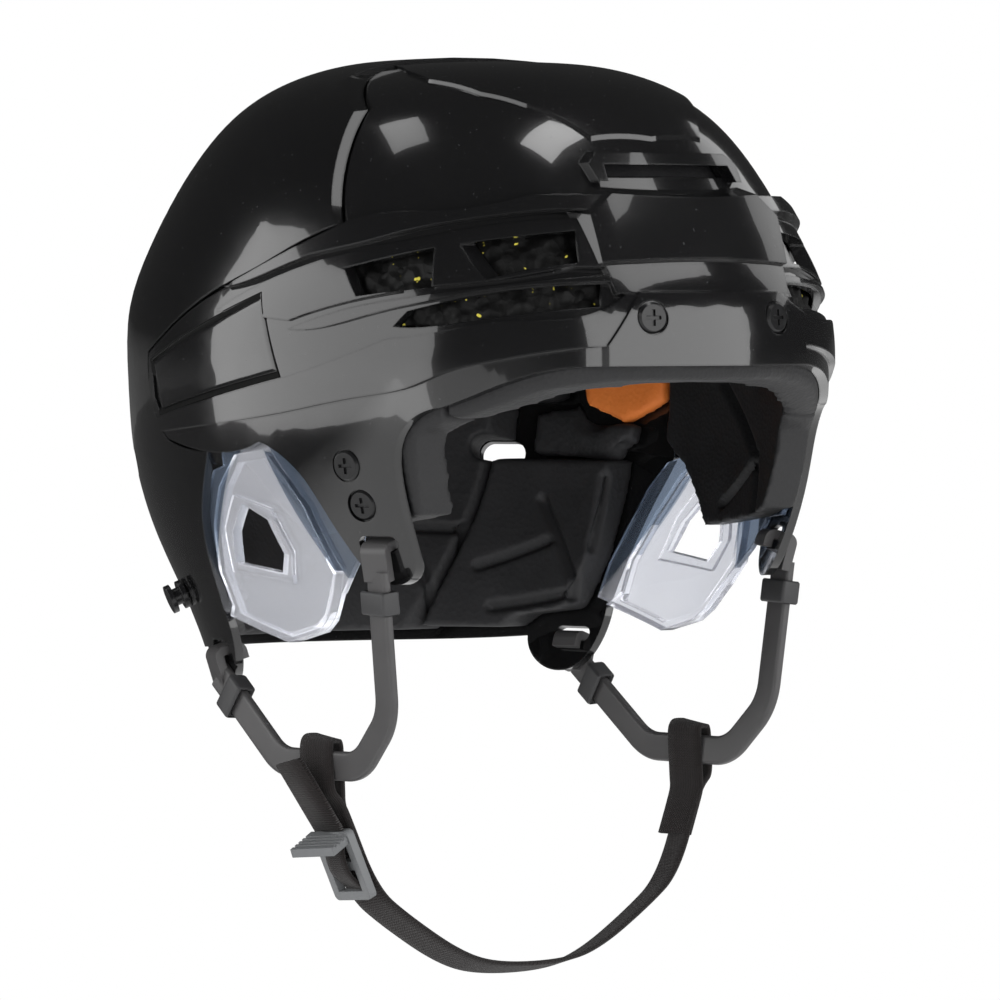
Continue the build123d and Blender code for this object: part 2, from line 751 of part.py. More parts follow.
# The front shell: a moulded plastic half with three ridges, side and forehead vents,
# a raised forehead panel and two legs in front of the ears.
ridges = [
    common(head_form(upper_ridge_stand, 0, -upper_ridge_lean), side_block(upper_ridge_shares)),
    less(
        common(head_form(middle_ridge_stand, 0, -middle_ridge_lean), side_block(middle_ridge_shares)),
        brow_gap,
    ),
    less(
        common(head_form(blade_ridge_stand, 0, -blade_ridge_lean), side_block(blade_ridge_shares)),
        brow_gap,
    ),
    common(head_form(lower_ridge_stand, 0, -lower_ridge_lean), side_block(lower_ridge_shares)),
    common(head_form(crown_plate_stand), top_block(crown_plate_shares)),
    common(
        head_form(lower_ridge_stand, 0, -lower_ridge_lean),
        front_block(brow_shares, 0, panel_base_depth),
    ),
    common(
        head_form(lower_ridge_stand + brim_plate_stand, 0, -lower_ridge_lean),
        front_block(brim_plate_shares, 0, panel_base_depth),
    ),
    common(
        head_form(panel_stand).rotate(panel_foot, panel_tilt),
        front_block(forehead_panel_shares, panel_taper, panel_base_depth),
    ),
    common(head_form(hood_stand), front_block(vent_hood_shares)),
]
front_hollow = [
    less(head_form(-shell_wall), tongue_region),
    common(head_form(hidden_inner_skin, rear_crown_stand, slide_travel), tongue_region),
]
tongue = common(head_form(hidden_skin, rear_crown_stand, slide_travel), tongue_region)
front_cuts = [
    *[side_block(shares) for shares in side_vent_shares],
    front_block(hood_slot_shares, 0, half_length / 3),
    less(side_block(side_panel_shares), head_form(-side_recess_depth)),
    screw_bores,
    screw_seats,
    slots(front_slot_planes.values(), sling_slot_width, sling_slot_height),
]
with BuildPart() as front_shell:
    add(head_form(0))
    add(ridges)
    add(front_region, mode=Mode.INTERSECT)
    add(tongue)
    add(front_hollow, mode=Mode.SUBTRACT)
    add(front_cuts, mode=Mode.SUBTRACT)



def on_crown_step(edge):
    """Whether an edge of the rear shell is one that the crown step shows at the side."""
    middle = edge @ 0.5
    beside = abs(middle.X) > crown_step_from
    return beside and middle.Y < crown_step_back and middle.Z > rear_crown_blend_from * 3 / 2


# The rear shell: crown, back and the two legs behind the ears
rear_hollow = [
    less(head_form(-shell_wall, rear_crown_stand), wing_region),
    common(head_form(hidden_inner_skin, 0, -slide_travel), wing_region),
]
wing = common(head_form(hidden_skin, 0, -slide_travel), wing_region)
rear_vents = slots(rear_vent_planes.values(), rear_vent_width, rear_vent_height)
post_bores = bores(post_spots.values(), post_radius + recess_clearance, -overrun / 2, overrun / 2)
rear_slots = slots(rear_slot_planes.values(), sling_slot_width, sling_slot_height)
with BuildPart() as rear_shell:
    add(head_form(0, rear_crown_stand))
    add(rear_region, mode=Mode.INTERSECT)
    crown_edges = rear_shell.edges().filter_by(on_crown_step)
    chamfer(crown_edges, length=rear_crown_bevel_depth, length2=rear_crown_bevel_width)
    add(wing)
    add(rear_hollow, mode=Mode.SUBTRACT)
    add([rear_slots, rear_vents, post_bores], mode=Mode.SUBTRACT)

# The liner: foam blocks that follow the inside of the shells
liner_skin = -shell_wall - seat_gap
liner_inner_skin = liner_skin - liner_thickness
front_slab = less(head_form(liner_skin), head_form(liner_inner_skin))
rear_slab = less(head_form(liner_skin, rear_crown_stand), head_form(liner_inner_skin))
guard_relief = less(side_block(guard_relief_shares, -1), head_form(guard_inner_skin - seat_gap))
impact_skin = hidden_inner_skin - seat_gap
impact_slab = less(
    head_form(impact_skin, 0, -slide_travel),
    head_form(impact_skin - impact_pad_thickness, 0, -slide_travel),
)
lattice_slab = less(head_form(liner_skin), head_form(liner_skin - lattice_thickness))
rivet_pocket = bores(
    [post_spots[-1]], post_head_radius + recess_clearance, -shell_wall - rivet_pocket_depth, 0
)

forehead_pad = less(common(front_slab, side_block(forehead_pad_shares)), visor_pockets)
crown_pad = common(front_slab, side_block(crown_pad_shares))
back_pad = common(rear_slab, side_block(back_pad_shares))
rear_crown_pad = common(rear_slab, side_block(rear_crown_pad_shares))
occipital_pad = less(common(rear_slab, side_block(occipital_pad_shares)), rear_vents)
temple_pad = less(
    common(front_slab, side_block(temple_pad_shares, -1)), guard_relief, guard_pockets
)
side_pad = less(common(rear_slab, side_block(side_pad_shares, -1)), rivet_pocket)
impact_pad = common(impact_slab, side_block(impact_pad_shares, -1))
vent_lattice = less(common(lattice_slab, side_block(vent_lattice_shares, -1)), visor_pockets)

# The ear guards: clear trays with a flange behind the shell and a rimmed ear hole
guard_pocket = side_block(guard_pocket_shares, -1)
guard_flange = less(
    common(head_form(liner_skin), side_block(guard_flange_shares, -1)),
    head_form(guard_inner_skin),
    guard_pocket,
)
guard_tray = less(
    common(head_form(guard_skin), side_block(guard_tray_shares, -1)),
    head_form(guard_inner_skin),
    common(head_form(guard_skin - guard_wall), guard_pocket),
)
guard_rim = less(
    common(head_form(guard_skin + guard_rim_stand), side_block(guard_rim_shares, -1)),
    head_form(guard_skin - guard_wall),
)
guard_hole = side_block(guard_hole_shares, -1)
with BuildPart() as ear_guard:
    add(guard_flange)
    add([guard_tray, guard_rim])
    add([guard_hole, screw_bores], mode=Mode.SUBTRACT)


def screws(spots, length):
    """Pan-head screws with a cross recess, seated in the sunk seats."""
    with BuildPart() as group:
        for spot in spots:
            with BuildSketch(spot.offset(-screw_sink)):
                Circle(screw_head_radius)
            extrude(amount=screw_head_height / 2)
            with BuildSketch(spot.offset(-screw_sink + screw_head_height / 2)):
                Circle(screw_head_radius)
            extrude(amount=screw_head_height / 2, taper=45)
            with BuildSketch(spot.offset(-screw_sink)):
                Circle(screw_shank_radius)
            extrude(amount=-length)
            with BuildSketch(spot.offset(screw_head_height - screw_sink)):
                Rectangle(cross_length, cross_width)
                Rectangle(cross_width, cross_length)
            extrude(amount=-cross_depth, mode=Mode.SUBTRACT)
    return group.part


def nuts(spots, depth):
    """Flanged nuts behind the wall that take the screws."""
    with BuildPart() as group:
        for spot in spots:
            with BuildSketch(spot.offset(-depth)):
                Circle(nut_flange_radius)
                Circle(screw_shank_radius + nut_fit, mode=Mode.SUBTRACT)
            extrude(amount=-nut_flange_height)
            with BuildSketch(spot.offset(-depth - nut_flange_height)):
                Circle(nut_barrel_radius)
                Circle(screw_shank_radius + nut_fit, mode=Mode.SUBTRACT)
            extrude(amount=-nut_barrel_height)
    return group.part


visor_screws = screws(visor_spots, visor_nut_depth + nut_barrel_height - screw_sink)
guard_spots = side_spots[-1] + side_spots[1]
ear_guard_screws = screws(guard_spots, guard_nut_depth + nut_barrel_height - screw_sink)
visor_nuts = nuts(visor_spots, visor_nut_depth)
ear_guard_nuts = nuts(guard_spots, guard_nut_depth)

# Mushroom posts on the rear shell that take the strap of a face cage
with BuildPart() as cage_posts:
    for spot in post_spots.values():
        with BuildSketch(spot.offset(seat_gap)):
            Circle(post_head_radius)
        extrude(amount=post_head_height)
        with BuildSketch(spot.offset(-shell_wall - rivet_height)):
            Circle(post_radius)
        extrude(amount=shell_wall + rivet_height + post_length)
        with BuildSketch(spot.offset(post_length - post_head_height)):
            Circle(post_head_radius)
        extrude(amount=post_head_height)
        with BuildSketch(spot.offset(-shell_wall - rivet_height)):
            Circle(post_head_radius - seat_gap)
        extrude(amount=rivet_height - 2 * seat_gap)

# The slings: moulded straps that hook through the slots of a front and a rear leg and
# meet under the ear, where the chin webbing loops round them.
hook_stand = shell_wall / 2 + hook_clearance + sling_thickness / 2
hook_rise = -sling_slot_height / 2 + seat_gap + sling_thickness / 2


def sling_hook(plane):
    """Hook of a sling over the bar below its slot."""
    side_plane = Plane(origin=plane.origin, x_dir=plane.z_dir, z_dir=-plane.x_dir)
    with BuildPart() as hook:
        with BuildLine(side_plane) as path:
            FilletPolyline(
                (hook_stand, -sling_flap),
                (hook_stand, hook_rise),
                (-hook_stand, hook_rise),
                (-hook_stand, -sling_flap + 2 * sling_thickness),
                radius=hook_bend,
            )
        with BuildSketch(Plane(origin=path.line @ 0, x_dir=plane.x_dir, z_dir=path.line % 0)):
            Rectangle(sling_width, sling_thickness)
        sweep()
    return hook.part


def sling_plane(slot_plane):
    """Upright plane of a sling, from the junction to the foot of its hook."""
    side = math.copysign(1, slot_plane.origin.X)
    foot = slot_plane.from_local_coords(Vector(0, -sling_flap + sling_thickness, hook_stand))
    origin = Vector(side * junction_half_span, junction_back, junction_height)
    lean = Vector(foot.X - origin.X, 0, foot.Z - origin.Z)
    plane = Plane(origin=origin, x_dir=(0, 1, 0), z_dir=Vector(0, 1, 0).cross(lean.normalized()))
    return plane, (foot.Y - origin.Y, lean.length)


def sling_strap(slot_plane, shares, bend, end):
    """Strap of a sling, from its hook to the junction."""
    plane, (foot_u, foot_v) = sling_plane(slot_plane)
    points = [(foot_u, foot_v), *[(u * foot_u, v * foot_v) for u, v in shares], (end, 0)]
    with BuildPart() as strap:
        with BuildLine(plane) as path:
            FilletPolyline(*points, radius=bend)
        with BuildSketch(Plane(origin=path.line @ 0, x_dir=plane.z_dir, z_dir=path.line % 0)):
            RectangleRounded(sling_thickness, sling_width, sling_corner)
        sweep()
    return strap.part


def keeper(slot_plane, shares, up_share):
    """Sleeve that holds the folded end of a sling on its strap."""
    plane, (foot_u, foot_v) = sling_plane(slot_plane)
    start = Vector(foot_u, foot_v)
    along = (Vector(shares[0][0] * foot_u, shares[0][1] * foot_v) - start).normalized()
    centre = start + along * keeper_height * up_share
    axis = plane.from_local_coords(centre + along) - plane.from_local_coords(centre)
    place = Plane(origin=plane.from_local_coords(centre), x_dir=plane.z_dir, z_dir=axis)
    with BuildPart() as sleeve:
        with BuildSketch(place):
            RectangleRounded(
                sling_thickness + 2 * (keeper_wall + seat_gap), keeper_width, sling_corner
            )
            Rectangle(
                sling_thickness + 2 * seat_gap, sling_width + 2 * seat_gap, mode=Mode.SUBTRACT
            )
        extrude(amount=keeper_height)
    return sleeve.part


def sling(slot_plane, shares, bend, end):
    """One moulded sling: hook and strap in one piece."""
    with BuildPart() as piece:
        add(sling_strap(slot_plane, shares, bend, end))
        add(sling_hook(slot_plane))
    return piece.part


front_sling = sling(front_slot_planes[-1], front_strap_shares, front_sling_bend, sling_split)
rear_sling = sling(
    rear_slot_planes[-1], rear_strap_shares, rear_sling_bend, sling_split + seat_gap
)
front_keeper = keeper(front_slot_planes[-1], front_strap_shares, front_keeper_share)
rear_keeper = keeper(rear_slot_planes[-1], rear_strap_shares, rear_keeper_share)

# Chin webbing: one woven strap, looped round the slings and sewn back on itself
webbing_lean = math.radians(webbing_tilt)
webbing_plane = Plane(
    origin=(0, junction_back, junction_height),
    x_dir=(1, 0, 0),
    z_dir=(0, -math.cos(webbing_lean), math.sin(webbing_lean)),
)
loop_half = sling_thickness / 2 + loop_side_clearance + webbing_thickness / 2
loop_top = sling_width / 2 + loop_clearance + webbing_thickness / 2
layer_step = webbing_thickness + strap_clearance


def half_webbing(side):
    """Route of the webbing from the chin up to a junction and back down inside."""
    inner = junction_half_span - loop_half
    outer = junction_half_span + loop_half
    route = [(across * junction_half_span, -drop * webbing_drop) for across, drop in chin_shares]
    low_u, low_v = route[-2]
    seam_u, seam_v = route[-1]
    fold_u = seam_u + fold_share * (low_u - seam_u)
    fold_v = seam_v + fold_share * (low_v - seam_v)
    route += [
        (seam_u + loop_half / 2, -loop_top - webbing_width / 3),
        (outer, -loop_top),
        (outer, loop_top),
        (inner, loop_top),
        (inner, -loop_top),
        (seam_u + loop_half / 2 - layer_step, -loop_top - webbing_width / 3),
        (seam_u - layer_step, seam_v),
        (fold_u - layer_step, fold_v + layer_step),
    ]
    return [(side * u, v) for u, v in route]


chin_route = half_webbing(-1)[::-1] + half_webbing(1)[1:]
chin_radii = [
    loop_bend if abs(u) > junction_half_span - 2 * loop_half and v > -webbing_drop / 3 else chin_bend
    for u, v in chin_route[1:-1]
]
with BuildPart() as chin_webbing:
    with BuildLine(webbing_plane) as path:
        FilletPolyline(*chin_route, radius=chin_radii)
    with BuildSketch(Plane(origin=path.line @ 0, x_dir=webbing_plane.z_dir, z_dir=path.line % 0)):
        Rectangle(webbing_width, webbing_thickness)
    sweep()

# Ladder-lock buckle on the wearer's right, with its ribbed thumb tab
right_route = half_webbing(-1)
buckle_low = webbing_plane.from_local_coords(Vector(*right_route[len(chin_shares) - 2]))
buckle_high = webbing_plane.from_local_coords(Vector(*right_route[len(chin_shares) - 1]))
buckle_run = (buckle_low - buckle_high).normalized()
buckle_across = webbing_plane.z_dir * -1
buckle_out = buckle_across.cross(buckle_run).normalized()
buckle_plane = Plane(
    origin=buckle_high + buckle_out * (webbing_thickness / 2 + buckle_stand),
    x_dir=buckle_run,
    z_dir=buckle_out,
)
buckle_middle = (buckle_low - buckle_high).length / 2 + buckle_drop
buckle_top = buckle_middle - buckle_length / 2
window_length = (buckle_length - 3 * buckle_bar) / 2
tab_plane = Plane(
    origin=buckle_plane.from_local_coords(Vector(buckle_top + buckle_bar / 2, 0, buckle_thickness / 2)),
    x_dir=buckle_out,
    z_dir=buckle_run.cross(buckle_out),
).rotated((0, 0, tab_angle))
with BuildPart() as buckle:
    with BuildSketch(buckle_plane):
        with Locations((buckle_middle, 0)):
            RectangleRounded(buckle_length, buckle_width, buckle_corner)
        with Locations(
            (buckle_middle - (buckle_bar + window_length) / 2, 0),
            (buckle_middle + (buckle_bar + window_length) / 2, 0),
        ):
            Rectangle(window_length, buckle_width - 2 * buckle_bar, mode=Mode.SUBTRACT)
    extrude(amount=buckle_thickness)
    with BuildSketch(tab_plane):
        with Locations((tab_length / 2, 0)):
            Rectangle(tab_length, tab_thickness)
        for groove in range(tab_groove_count):
            with Locations((tab_length - (groove + 1) * 2 * tab_groove, tab_thickness / 2)):
                Rectangle(tab_groove, tab_groove, mode=Mode.SUBTRACT)
    extrude(amount=tab_width / 2, both=True)

# Free end of the webbing, which leaves the top of the buckle towards the back
tail_origin = buckle_plane.from_local_coords(
    Vector(buckle_top - seat_gap, 0, buckle_thickness - webbing_thickness)
)
lean_share = math.tan(math.radians(tail_lean))
tail_up = (buckle_out * lean_share - buckle_run).normalized()
tail_plane = Plane(origin=tail_origin, x_dir=tail_up, z_dir=tail_up.cross(buckle_across))
tail_run = Vector(tail_rise, tail_back).normalized()
half_webbing_width = webbing_width / 2
with BuildPart() as webbing_tail:
    with BuildSketch(tail_plane):
        with BuildLine():
            Polyline(
                (0, -half_webbing_width),
                (0, half_webbing_width),
                (tail_rise - tail_run.Y * half_webbing_width, tail_back + tail_run.X * half_webbing_width),
                (tail_rise + tail_run.Y * half_webbing_width, tail_back - tail_run.X * half_webbing_width),
                close=True,
            )
        make_face()
    extrude(amount=webbing_thickness, dir=buckle_out)

pieces = {
    "front_shell": front_shell.part,
    "rear_shell": rear_shell.part,
    "forehead_pad": forehead_pad,
    "crown_pad": crown_pad,
    "back_pad": back_pad,
    "rear_crown_pad": rear_crown_pad,
    "occipital_pad": occipital_pad,
    "visor_screws": visor_screws,
    "visor_nuts": visor_nuts,
    "ear_guard_screws": ear_guard_screws,
    "ear_guard_nuts": ear_guard_nuts,
    "cage_posts": cage_posts.part,
    "chin_webbing": chin_webbing.part,
    "webbing_tail": webbing_tail.part,
    "buckle": buckle.part,
}
paired = {
    "temple_pad": temple_pad,
    "side_pad": side_pad,
    "impact_pad": impact_pad,
    "vent_lattice": vent_lattice,
    "ear_guard": ear_guard.part,
    "front_sling": front_sling,
    "rear_sling": rear_sling,
    "front_keeper": front_keeper,
    "rear_keeper": rear_keeper,
}
for name, solid in paired.items():
    pieces[name + "_right"] = solid
    pieces[name + "_left"] = on_left(solid)

os.makedirs("parts", exist_ok=True)
for name, solid in pieces.items():
    solid.label = name
    export_step(solid, f"parts/{name}.step")
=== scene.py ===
import bpy
import math
from mathutils import Matrix, Vector
from mathutils.geometry import intersect_point_line


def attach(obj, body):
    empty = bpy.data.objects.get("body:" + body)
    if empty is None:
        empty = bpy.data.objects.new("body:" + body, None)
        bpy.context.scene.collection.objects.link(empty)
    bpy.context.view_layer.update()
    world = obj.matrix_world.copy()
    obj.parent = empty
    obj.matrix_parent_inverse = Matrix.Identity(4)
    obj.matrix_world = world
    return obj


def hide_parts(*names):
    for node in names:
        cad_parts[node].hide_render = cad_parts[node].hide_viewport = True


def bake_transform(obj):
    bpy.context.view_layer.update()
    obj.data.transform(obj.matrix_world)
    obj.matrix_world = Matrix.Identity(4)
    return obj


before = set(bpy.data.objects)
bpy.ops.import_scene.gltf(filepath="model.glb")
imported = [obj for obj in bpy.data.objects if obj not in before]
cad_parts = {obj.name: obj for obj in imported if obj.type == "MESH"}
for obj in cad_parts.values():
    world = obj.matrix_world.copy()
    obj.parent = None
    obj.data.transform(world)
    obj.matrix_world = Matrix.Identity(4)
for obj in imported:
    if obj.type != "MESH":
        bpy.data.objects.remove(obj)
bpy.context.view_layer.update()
bpy.ops.object.select_all(action="DESELECT")


# The studio: a camera at the photograph's low three-quarter angle, a pale floor and
# backdrop, and large soft boxes whose reflections run along the glossy shells.
def aim(azimuth, elevation):
    """Unit vector from the helmet towards a place round it."""
    turn, rise = math.radians(azimuth), math.radians(elevation)
    level = math.cos(rise)
    return Vector((math.sin(turn) * level, -math.cos(turn) * level, math.sin(rise)))


camera_distance = 2.756
camera_shift_right = 0.0067
camera_shift_up = 0.01413
view_back = aim(-36.9, 1.5)
view_right = Vector((0, 0, 1)).cross(view_back).normalized()
view_up = view_back.cross(view_right)
bpy.ops.object.camera_add(
    location=view_back * camera_distance
    + view_right * camera_shift_right
    + view_up * camera_shift_up,
    rotation=Matrix((view_right, view_up, view_back)).transposed().to_euler(),
)
camera = bpy.context.object
camera.data.lens = 289.7
camera.data.sensor_width = 36
camera.data.clip_end = 50
bpy.context.scene.camera = camera
bpy.context.scene.view_settings.view_transform = "Standard"


class Wire:
    """A shader socket that can be reckoned with like a number."""

    def __init__(self, tree, socket=None):
        self.tree = tree
        self.socket = socket

    def node(self, kind, settings=None, inputs=None, output=0):
        """Adds a node: its settings first, then the values or links of its sockets."""
        made = self.tree.nodes.new(kind)
        for name, value in (settings or {}).items():
            setattr(made, name, value)
        for name, value in (inputs or {}).items():
            if isinstance(value, Wire):
                self.tree.links.new(value.socket, made.inputs[name])
            else:
                made.inputs[name].default_value = value
        return Wire(self.tree, made.outputs[output] if made.outputs else None)

    def reckon(self, operation, *values):
        """Adds a Math node that works on sockets and numbers."""
        return self.node("ShaderNodeMath", {"operation": operation}, dict(enumerate(values)))

    def __add__(self, other):
        return self.reckon("ADD", self, other)

    def __radd__(self, other):
        return self.reckon("ADD", other, self)

    def __sub__(self, other):
        return self.reckon("SUBTRACT", self, other)

    def __rsub__(self, other):
        return self.reckon("SUBTRACT", other, self)

    def __mul__(self, other):
        return self.reckon("MULTIPLY", self, other)

    def __rmul__(self, other):
        return self.reckon("MULTIPLY", other, self)


def pale_stage(name):
    """A floor finish: plain diffuse for light, flat white to the camera and through clear
    plastic, and falling off behind the helmet in what the gloss mirrors."""
    material = bpy.data.materials.new(name)
    material.use_nodes = True
    tree = material.node_tree
    tree.nodes.clear()
    wire = Wire(tree)
    seen = wire.node("ShaderNodeLightPath", output="Is Camera Ray")
    glossy = wire.node("ShaderNodeLightPath", output="Is Glossy Ray")
    through = wire.node("ShaderNodeLightPath", output="Is Transmission Ray")
    place = wire.node("ShaderNodeTexCoord", output="Object")
    behind = wire.node("ShaderNodeSeparateXYZ", inputs={0: place}, output="Y")
    fall_starts, fall_ends, far_level = 0.2, 0.7, 0.06
    mirrored = wire.node(
        "ShaderNodeMapRange",
        inputs={"Value": behind, 1: fall_starts, 2: fall_ends, 3: 1.0, 4: far_level},
    )
    flat = wire.node(
        "ShaderNodeEmission",
        inputs={"Color": (1, 1, 1, 1), "Strength": seen + through + glossy * mirrored},
    )
    matt = wire.node("ShaderNodeBsdfDiffuse", inputs={"Color": (0.9, 0.9, 0.9, 1)})
    shade = wire.node("ShaderNodeMixShader", inputs={0: seen + glossy + through, 1: matt, 2: flat})
    wire.node("ShaderNodeOutputMaterial", inputs={"Surface": shade})
    return material


floor_height = -0.26
bpy.ops.mesh.primitive_plane_add(size=14, location=(0, 0, floor_height))
floor = bpy.context.object
floor.name = "studio_floor"
floor.data.materials.append(pale_stage("pale_floor"))

world = bpy.data.worlds.new("studio_air")
bpy.context.scene.world = world
world.use_nodes = True
air = Wire(world.node_tree)
world.node_tree.nodes.clear()
seen_air = air.node("ShaderNodeLightPath", output="Is Camera Ray")
through_air = air.node("ShaderNodeLightPath", output="Is Transmission Ray")
glossy_air = air.node("ShaderNodeLightPath", output="Is Glossy Ray")
air_height = air.node(
    "ShaderNodeSeparateXYZ",
    inputs={0: air.node("ShaderNodeTexCoord", output="Generated")},
    output="Z",
)
glossy_below, glossy_above, matt_level = 0.25, 0.025, 0.45
glossy_level = air.node(
    "ShaderNodeMapRange",
    inputs={"Value": air_height, 1: -0.12, 2: 0.02, 3: glossy_below, 4: glossy_above},
)
unseen_level = glossy_air * glossy_level + (1 - glossy_air) * matt_level
air_level = seen_air + through_air + (1 - seen_air) * (1 - through_air) * unseen_level
background = air.node("ShaderNodeBackground", inputs={"Color": (1, 1, 1, 1), "Strength": air_level})
air.node("ShaderNodeOutputWorld", inputs={"Surface": background})


def soft_box(name, azimuth, elevation, distance, width, height, power, mirrored=True):
    """A rectangular studio light that faces the helmet, in degrees, metres and watts."""
    bpy.ops.object.light_add(type="AREA", location=aim(azimuth, elevation) * distance)
    light = bpy.context.object
    light.name = name
    light.data.shape = "RECTANGLE"
    light.data.size = width
    light.data.size_y = height
    light.data.energy = power
    light.visible_glossy = mirrored
    light.rotation_euler = aim(azimuth, elevation).to_track_quat("Z", "Y").to_euler()


soft_box("crown_box", 25, 79, 1.6, 0.55, 0.34, 2.8)
soft_box("brow_box", 28, 50, 1.7, 0.95, 0.65, 4.4)
soft_box("front_box", 16, 12, 1.8, 2.2, 0.9, 17)
soft_box("side_box", -112, 14, 1.9, 2.6, 1.4, 25)
soft_box("ridge_box", -140, 60, 1.7, 0.5, 0.3, 1.0)
soft_box("far_box", 88, 30, 1.9, 1.2, 0.7, 3.2)
soft_box("inner_box", -30, 0, 1.6, 0.8, 0.4, 7, mirrored=False)


# The two shells: injection-moulded plastic in deep black with a high gloss, the front
# half slid over the sides of the rear half. The solids are shown as they are, smoothed.
def shade_smooth(piece):
    """Shades every face of a piece smooth."""
    for face in piece.data.polygons:
        face.use_smooth = True


def dress(node_name, material, angle=32):
    """Gives a solid its material, and shades it smooth up to an angle in degrees."""
    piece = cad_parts[node_name]
    piece.data.materials.clear()
    piece.data.materials.append(material)
    shade_smooth(piece)
    weld = piece.modifiers.new("join_faces", "WELD")
    weld.merge_threshold = 0.00001
    split = piece.modifiers.new("keep_edges", "EDGE_SPLIT")
    split.split_angle = math.radians(angle)


def mixed(mask, first, second):
    """Colour between two, by a mask from 0 to 1."""
    colours = {0: mask, 6: first, 7: second}
    return mask.node("ShaderNodeMix", {"data_type": "RGBA"}, colours, output=2)


def blurred(wire, place, scale, detail):
    """A cloudy noise from 0 to 1 over the given place."""
    return wire.node(
        "ShaderNodeTexNoise", inputs={"Vector": place, "Scale": scale, "Detail": detail}
    )


def stepped(noise, low, high):
    """Picks out the spots where a noise stands above a level."""
    span = {"Value": noise, 1: low, 2: high, 3: 0.0, 4: 1.0}
    return noise.node("ShaderNodeMapRange", inputs=span)


def new_finish(name, constants):
    """A material with its constant values on the shader's own sockets."""
    material = bpy.data.materials.new(name)
    material.use_nodes = True
    shader = material.node_tree.nodes["Principled BSDF"]
    for socket, value in constants.items():
        shader.inputs[socket].default_value = value
    return material, Wire(material.node_tree), shader


def feed(shader, **sources):
    """Links varying sources to the shader, written with _ for a space."""
    for name, source in sources.items():
        source.tree.links.new(source.socket, shader.inputs[name.replace("_", " ")])


def shell_gloss(name, tone):
    """Glossy moulded black with a faint ripple, dust and polishing marks."""
    material, wire, shader = new_finish(
        name, {"Specular IOR Level": 0.3, "Coat Weight": 1.0, "Coat Roughness": 0.03}
    )
    place = wire.node("ShaderNodeTexCoord", output="Object")
    cloud = blurred(wire, place, 14.0, 3.0)
    specks = stepped(blurred(wire, place, 900.0, 2.0), 0.70, 0.76)
    deep = (tone * 0.8, tone * 0.8, tone * 0.85, 1)
    worn = (tone * 1.25, tone * 1.25, tone * 1.3, 1)
    black = mixed(cloud, deep, worn)
    feed(
        shader,
        Base_Color=mixed(specks * 0.25, black, (0.10, 0.10, 0.105, 1)),
        Roughness=0.10 + cloud * 0.10 + specks * 0.15,
    )
    ripple = blurred(wire, place, 45.0, 1.0)
    rounded = wire.node("ShaderNodeBevel", {"samples": 4}, {"Radius": 0.0009})
    feed(
        shader,
        Normal=wire.node(
            "ShaderNodeBump",
            inputs={"Strength": 0.06, "Distance": 0.0008, "Height": ripple, "Normal": rounded},
        ),
    )
    return material


front_gloss = shell_gloss("front_shell_gloss", 0.006)
rear_gloss = shell_gloss("rear_shell_gloss", 0.005)
dress("front_shell", front_gloss)
dress("rear_shell", rear_gloss)


# The side plates: plain plates of the shell's glossy black plastic, glued into its shallow
# side recesses. Under each lies a thin matt near-black sheet, a little larger, as painted shade:
# its rim shows as the dark line of the gap round each plate.
def apply_all(piece):
    """Applies every modifier of a piece."""
    bpy.context.view_layer.objects.active = piece
    for modifier in list(piece.modifiers):
        bpy.ops.object.modifier_apply(modifier=modifier.name)


def side_sheet(name, sign, corner_places, thickness, material):
    """A thin four-sided sheet that lies on the front shell's side."""
    outside = 0.13
    bpy.ops.mesh.primitive_grid_add(
        x_subdivisions=36, y_subdivisions=12, size=1, location=(0, 0, 0)
    )
    sheet = bpy.context.object
    sheet.name = name
    lower_front, lower_back, upper_back, upper_front = (
        Vector((outside * sign, y / 1000, z / 1000)) for y, z in corner_places
    )
    for point in sheet.data.vertices:
        share, rise = point.co.x + 0.5, point.co.y + 0.5
        low, high = lower_front.lerp(lower_back, share), upper_front.lerp(upper_back, share)
        point.co = low.lerp(high, rise)
    cling = sheet.modifiers.new("cling", "SHRINKWRAP")
    cling.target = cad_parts["front_shell"]
    cling.wrap_method = "PROJECT"
    cling.use_project_x = True
    cling.use_negative_direction = True
    cling.use_positive_direction = True
    thicken = sheet.modifiers.new("thicken", "SOLIDIFY")
    thicken.thickness = thickness
    thicken.offset = sign
    edge = sheet.modifiers.new("edge", "BEVEL")
    edge.width = thickness * 0.3
    edge.segments = 2
    edge.limit_method = "ANGLE"
    edge.angle_limit = math.radians(50)
    apply_all(sheet)
    bpy.ops.object.mode_set(mode="EDIT")
    bpy.ops.mesh.select_all(action="SELECT")
    bpy.ops.mesh.normals_make_consistent(inside=False)
    bpy.ops.object.mode_set(mode="OBJECT")
    bpy.ops.object.shade_smooth_by_angle(angle=math.radians(35))
    sheet.data.materials.append(material)
    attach(sheet, "front")
    sheet.select_set(False)


# Painted shade: matt near-black for the sheet whose rim stands in for the shadow in the gap round
# each side plate.
groove_shade_black, wire, shader = new_finish("groove_shade_black", {"Specular IOR Level": 0.2})
place = wire.node("ShaderNodeTexCoord", output="Object")
fuzz = blurred(wire, place, 900.0, 3.0)
feed(
    shader,
    Base_Color=mixed(fuzz, (0.002, 0.002, 0.002, 1), (0.006, 0.006, 0.006, 1)),
    Roughness=0.7 + fuzz * 0.3,
)
groove_shade_thickness = 0.0004
plate_thickness = 0.0012
# Corners in millimetres, depth and height: lower front, lower back, upper back, upper front
groove_shade_corners = [(-26.6, 57.0), (47.8, 43.2), (55.2, 62.8), (-14.6, 85.6)]
plate_corners = [(-24.4, 58.9), (46.6, 45.8), (53.4, 61.4), (-14.4, 83.6)]
# Each side gets its painted-shade sheet first, then its plate on top.
for side, sign in (("right", -1), ("left", 1)):
    side_sheet(
        "side_groove_shade_" + side, sign, groove_shade_corners, groove_shade_thickness, groove_shade_black
    )
    side_sheet(
        "side_plate_" + side, sign, plate_corners, plate_thickness, front_gloss
    )


